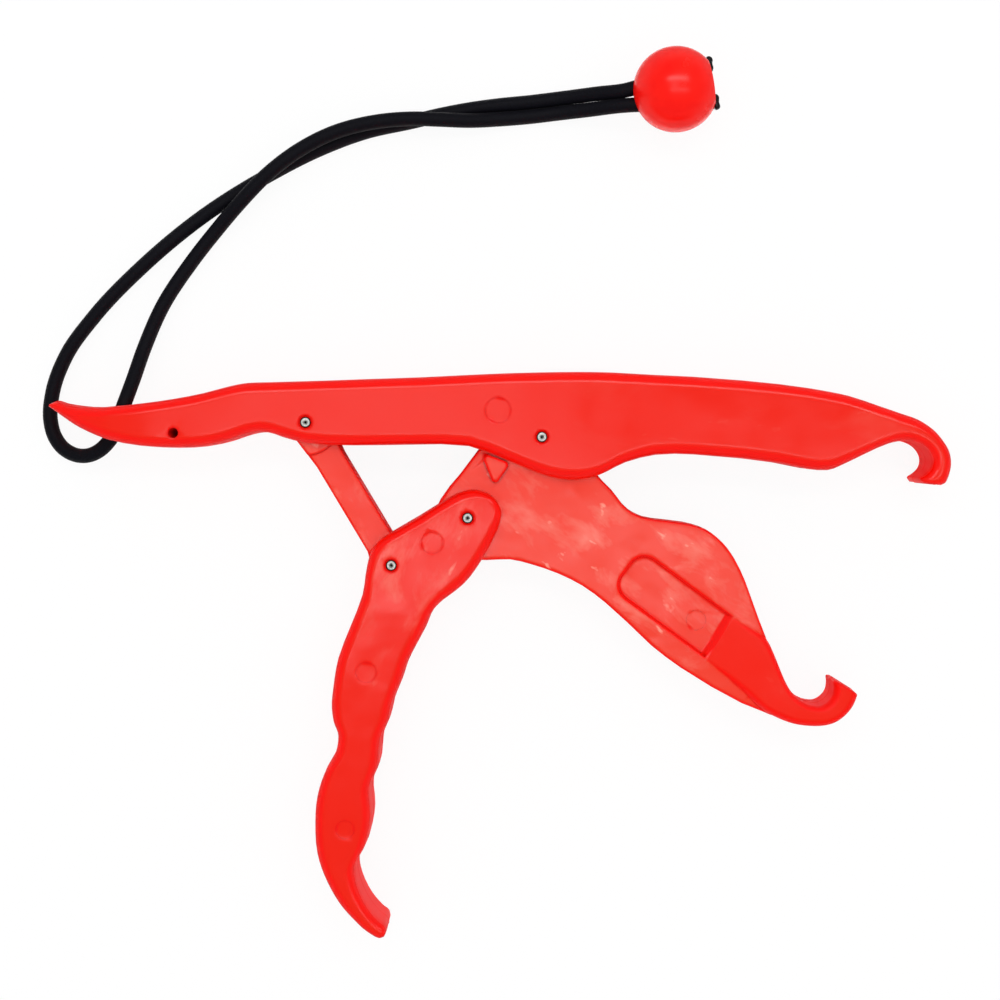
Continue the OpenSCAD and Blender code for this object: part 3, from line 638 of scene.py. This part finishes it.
def evenShading(piece):  # the wide faces stay flat up to their rims
    pickOnly(piece)
    bpy.ops.object.shade_smooth_by_angle(angle=math.radians(moulding["smooth"]))
    bpy.ops.object.mode_set(mode="EDIT")
    bpy.ops.mesh.select_mode(type="FACE")
    for strength, above in (("WEAK", -1), ("STRONG", moulding["flat"])):
        bpy.ops.mesh.select_all(action="DESELECT")
        mesh = bmesh.from_edit_mesh(piece.data)
        for face in mesh.faces:
            face.select_set(abs(face.normal.z) > above)
        bmesh.update_edit_mesh(piece.data)
        bpy.ops.mesh.mod_weighted_strength(set=True, face_strength=strength)
    bpy.ops.object.mode_set(mode="OBJECT")
    applyModifier(piece, "WEIGHTED_NORMAL", keep_sharp=True, weight=80, use_face_influence=True)


bodyMoulding = castMoulding("body_moulding", "body")
jawMoulding = castMoulding("jaw_moulding", "lower_jaw")
leverMoulding = castMoulding("lever_moulding", "lever")
linkMoulding = castMoulding("link_moulding", "link")
softenEdges(bodyMoulding, moulding["rim"], onWideFace)
softenEdges(leverMoulding, moulding["rim"], onWideFace)
softenEdges(linkMoulding, moulding["linkEdge"], lambda edge: True)
for piece in (bodyMoulding, jawMoulding, leverMoulding):
    partingLine(piece)
for piece in (bodyMoulding, jawMoulding, leverMoulding, linkMoulding):
    evenShading(piece)
dress(bodyMoulding, "handle", "moulded_red", nylonReds["body"], "body")
dress(jawMoulding, "jaw", "moulded_red", nylonReds["jaw"], "lower_jaw")
dress(leverMoulding, "trigger", "moulded_red", nylonReds["lever"], "lever")
dress(linkMoulding, "toggle", "moulded_red", nylonReds["link"], "link")
print("mouldings cast")


# Pins: one is turned, then copied to each bore

pins = {
    "diameter": 3,      # mm
    "sides": 48,
    "low": 0.6,
    "high": 19.4,
    "rim": 0.35,        # chamfer
    "square": 60,       # degrees, edges sharper than this get the chamfer
    "dimple": 1.3,
    "dimpleDepth": 0.4,
    "dimpleSteps": (0.12, 0.2),  # width of its two slopes
    "smooth": 35,       # degrees, shading runs on below this
    "places": {"jaw_pivot_pin": "handle", "link_body_pin": "handle",
               "lever_pivot_pin": "trigger", "link_lever_pin": "trigger"},
}


def turnPin(look):
    bpy.ops.object.select_all(action="DESELECT")
    bpy.ops.mesh.primitive_cylinder_add(vertices=look["sides"], radius=look["diameter"] / 2 * mm,
                                        depth=(look["high"] - look["low"]) * mm, end_fill_type="NGON",
                                        location=(0, 0, (look["high"] + look["low"]) / 2 * mm))
    piece = bpy.context.object
    bpy.ops.object.transform_apply(location=True)
    square = math.radians(look["square"])
    selectEdges(piece, lambda edge: edge.calc_face_angle(0) > square)
    bpy.ops.mesh.bevel(offset=look["rim"] * mm, segments=3, profile=0.6)
    bpy.ops.mesh.select_mode(type="FACE")
    bpy.ops.mesh.select_all(action="DESELECT")
    mesh = bmesh.from_edit_mesh(piece.data)
    for face in mesh.faces:
        face.select_set(len(face.verts) > look["sides"] // 2)  # the two caps
    bmesh.update_edit_mesh(piece.data)
    bpy.ops.mesh.inset(thickness=(look["diameter"] / 2 - look["rim"] - look["dimple"] / 2) * mm)
    for step in look["dimpleSteps"]:
        bpy.ops.mesh.inset(thickness=step * mm, depth=-look["dimpleDepth"] / 2 * mm)
    bpy.ops.object.mode_set(mode="OBJECT")
    layer = piece.data.uv_layers.active
    layer.name = "turning"  # millimetres from the axis of the pin
    for loop in piece.data.loops:
        spot = piece.data.vertices[loop.vertex_index].co
        layer.data[loop.index].uv = (spot.x / mm, spot.y / mm)
    bpy.ops.object.shade_smooth_by_angle(angle=math.radians(look["smooth"]))
    return piece


def setPins(look):
    first = turnPin(look)
    for nodeName, body in look["places"].items():
        low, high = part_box(nodeName)
        pin = first.copy()
        pin.data = first.data.copy()
        pin.name = pin.data.name = "turned_" + nodeName
        bpy.context.collection.objects.link(pin)
        pin.location = ((low[0] + high[0]) / 2, (low[1] + high[1]) / 2, 0)
        pickOnly(pin)
        bpy.ops.object.transform_apply(location=True)
        dress(pin, body, "pin_steel", pinSteel, nodeName)
    pickOnly(first)
    bpy.ops.object.delete()


setPins(pins)
print("pins set:", len(pins["places"]))


# Ball: a bead with a flat side and two slanting cord holes

def drill(piece, start, end, look):
    run = end - start
    bpy.ops.object.select_all(action="DESELECT")
    bpy.ops.mesh.primitive_cylinder_add(vertices=look["holeSides"], radius=look["hole"] / 2 * mm,
                                        depth=run.length * look["holeReach"] * mm,
                                        location=(start + end) / 2 * mm,
                                        rotation=run.to_track_quat("Z", "Y").to_euler())
    tool = bpy.context.object
    applyModifier(piece, "BOOLEAN", operation="DIFFERENCE", object=tool, solver="EXACT")
    pickOnly(tool)
    bpy.ops.object.delete()


def mouldBall(look):
    bpy.ops.object.select_all(action="DESELECT")
    bpy.ops.mesh.primitive_uv_sphere_add(segments=look["around"], ring_count=look["along"],
                                         radius=look["diameter"] / 2 * mm, location=ballCentre * mm,
                                         rotation=flatOut.to_track_quat("Z", "Y").to_euler())
    piece = bpy.context.object
    piece.name = piece.data.name = "ball_bead"
    bpy.ops.object.transform_apply(location=True, rotation=True)
    bpy.ops.object.mode_set(mode="EDIT")
    bpy.ops.mesh.select_all(action="SELECT")
    bpy.ops.mesh.bisect(plane_co=(ballCentre + look["flat"] * flatOut) * mm, plane_no=flatOut, use_fill=True,
                        clear_outer=True)
    bpy.ops.object.mode_set(mode="OBJECT")
    drill(piece, firstMouth, firstEnd, look)
    drill(piece, secondMouth, secondEnd, look)
    rim = math.radians(look["rim"])
    selectEdges(piece, lambda edge: edge.calc_face_angle(0) > rim)
    bpy.ops.mesh.bevel(offset=look["lip"] * mm, segments=3, profile=0.5, clamp_overlap=True)
    bpy.ops.mesh.select_all(action="SELECT")
    bpy.ops.mesh.remove_doubles(threshold=look["merge"] * mm)
    bpy.ops.object.mode_set(mode="OBJECT")
    bpy.ops.object.shade_smooth_by_angle(angle=math.radians(look["smooth"]))
    return piece


ballBead = mouldBall(ball)
dress(ballBead, "handle", "ball_red", ballRed, "lanyard_ball")
print("ball:", len(ballBead.data.polygons), "faces")


# Melted cord ends: lumps that a flame left on the flat side of the ball

ends = {
    "nodes": {"cord_end_1": firstEnd, "cord_end_2": secondEnd},
    "lobes": [(0.2, -1.1, 1.25), (0.35, 1.0, 1.15), (0.0, 0.1, 1.3)],  # out, along the flat, radius, mm
    "voxel": 0.14,      # mm
    "lump": 1.3,        # mm across
    "rough": 0.35,      # mm, height of the lumps
    "clear": 0.02,      # mm, gap to the ball
    "smooth": 50,       # degrees, shading runs on below this
}


def meltEnd(name, spot, look):
    bpy.ops.object.select_all(action="DESELECT")
    lobes = []
    for out, aside, radius in look["lobes"]:
        bpy.ops.mesh.primitive_ico_sphere_add(subdivisions=4, radius=radius * mm,
                                              location=(spot + out * flatOut + aside * flatSide) * mm)
        lobes.append(bpy.context.object)
    for lobe in lobes:
        lobe.select_set(True)
    bpy.ops.object.join()
    piece = bpy.context.object
    piece.name = piece.data.name = name
    bpy.ops.object.transform_apply(location=True, rotation=True, scale=True)
    applyModifier(piece, "REMESH", mode="VOXEL", voxel_size=look["voxel"] * mm)
    applyModifier(piece, "SMOOTH", factor=0.5, iterations=6)
    cloud = bpy.data.textures.new("melt_lumps", "CLOUDS")
    cloud.noise_scale = look["lump"] * mm
    applyModifier(piece, "DISPLACE", texture=cloud, strength=look["rough"] * mm, mid_level=0.5,
                  texture_coords="LOCAL")
    pickOnly(piece)
    bpy.ops.object.mode_set(mode="EDIT")
    bpy.ops.mesh.select_all(action="SELECT")
    bpy.ops.mesh.bisect(plane_co=(spot + look["clear"] * flatOut) * mm, plane_no=flatOut, use_fill=True,
                        clear_inner=True)
    bpy.ops.object.mode_set(mode="OBJECT")
    applyModifier(piece, "REMESH", mode="VOXEL", voxel_size=look["voxel"] / 2 * mm)
    bpy.ops.object.shade_smooth_by_angle(angle=math.radians(look["smooth"]))
    return piece


for nodeName, spot in ends["nodes"].items():
    end = meltEnd("melted_" + nodeName, spot, ends)
    dress(end, "handle", "melted_black", meltBlack, nodeName)

dress(braidedCord, "handle", "cord_black", cordBlack, "lanyard_cord")


# Table and light: an even white tent, with a soft panel and two strips that show in the gloss

studio = {
    "table": 6.0,         # m
    "drop": 0.05,         # mm, the table under the object
    "paper": 0.98,        # whiteness of the table
    "glow": 0.92,         # share of plain white in what the lens sees of the table
    "mirrored": 0.25,     # brightness of the table and the room in the gloss
    "close": (17, 23),    # mm, within which the gloss shows the paper itself
    "tent": 0.85,         # brightness of the tent, which lights evenly and shows no reflection
    "lamps": [            # place, length and width in m, brightness
        {"place": (-0.16, 0.12, 1.25), "size": (0.40, 0.36), "level": 0.85},
        {"place": (0.15, -0.110, 1.00), "size": (0.9, 0.07), "level": 3.2},
        {"place": (0.05, 0.43, 0.96), "size": (1.0, 0.12), "level": 5.0},
    ],
}


def whiteTable(look):
    bpy.ops.object.select_all(action="DESELECT")
    bpy.ops.mesh.primitive_plane_add(size=look["table"], location=(0, 0, -look["drop"] * mm))
    table = bpy.context.object
    table.name = "white_table"
    material = bpy.data.materials.new("white_table_paper")
    material.use_nodes = True
    material.cycles.emission_sampling = "NONE"  # the glow isn't a lamp
    tree = material.node_tree
    tree.nodes.clear()
    paper = addNode(tree, "ShaderNodeBsdfDiffuse", Color=grey(look["paper"]))
    ray = addNode(tree, "ShaderNodeLightPath").outputs
    seen = addNode(tree, "ShaderNodeMath", {"operation": "MAXIMUM"}, _0=ray["Is Camera Ray"],
                   _1=ray["Is Transmission Ray"])
    near, far = look["close"]
    away = addNode(tree, "ShaderNodeMapRange", Value=ray["Ray Length"], From_Min=near * mm, From_Max=far * mm)
    dim = addNode(tree, "ShaderNodeMath", {"operation": "MULTIPLY"}, _0=ray["Is Glossy Ray"],
                  _1=away.outputs[0])
    share = addNode(tree, "ShaderNodeMath", {"operation": "MULTIPLY_ADD"}, _0=seen.outputs[0],
                    _1=look["glow"], _2=dim.outputs[0])
    level = addNode(tree, "ShaderNodeMath", {"operation": "MULTIPLY_ADD"}, _0=ray["Is Glossy Ray"],
                    _1=look["mirrored"] - 1, _2=1.0)
    glow = addNode(tree, "ShaderNodeEmission", Color=grey(1.0), Strength=level.outputs[0])
    mix = addNode(tree, "ShaderNodeMixShader", _0=share.outputs[0], _1=paper.outputs[0], _2=glow.outputs[0])
    addNode(tree, "ShaderNodeOutputMaterial", Surface=mix.outputs[0])
    table.data.materials.append(material)


def whiteRoom(look):  # what shows beyond the table: white to the lens, dim in the gloss
    world = bpy.data.worlds.new("white_room")
    world.use_nodes = True
    bpy.context.scene.world = world
    tree = world.node_tree
    tree.nodes.clear()
    ray = addNode(tree, "ShaderNodeLightPath").outputs
    seen = addNode(tree, "ShaderNodeMath", {"operation": "MAXIMUM"}, _0=ray["Is Camera Ray"],
                   _1=ray["Is Transmission Ray"])
    level = addNode(tree, "ShaderNodeMath", {"operation": "MULTIPLY_ADD"}, _0=ray["Is Glossy Ray"],
                    _1=look["mirrored"], _2=seen.outputs[0])
    room = addNode(tree, "ShaderNodeBackground", Color=grey(1.0), Strength=level.outputs[0])
    addNode(tree, "ShaderNodeOutputWorld", Surface=room.outputs[0])


def lightTent(look):
    bpy.ops.object.light_add(type="SUN", location=(0, 0, 1))
    tent = bpy.context.object
    tent.data.angle = math.pi  # the whole sky
    tent.data.energy = look["tent"] * math.pi
    tent.data.cycles.use_multiple_importance_sampling = False
    tent.visible_glossy = False  # lights the object, but shows in no gloss
    for lamp in look["lamps"]:
        place = Vector(lamp["place"])
        tilt = math.atan2(-place.y, place.z)  # towards the object, with the length along X
        bpy.ops.object.light_add(type="AREA", location=place, rotation=(tilt, 0, 0))
        panel = bpy.context.object.data
        panel.shape = "RECTANGLE"
        panel.size, panel.size_y = lamp["size"]
        panel.energy = lamp["level"] * math.pi * panel.size * panel.size_y


whiteTable(studio)
whiteRoom(studio)
lightTent(studio)
bpy.context.scene.view_settings.view_transform = "Standard"
print("stage lit")

bpy.context.view_layer.update()
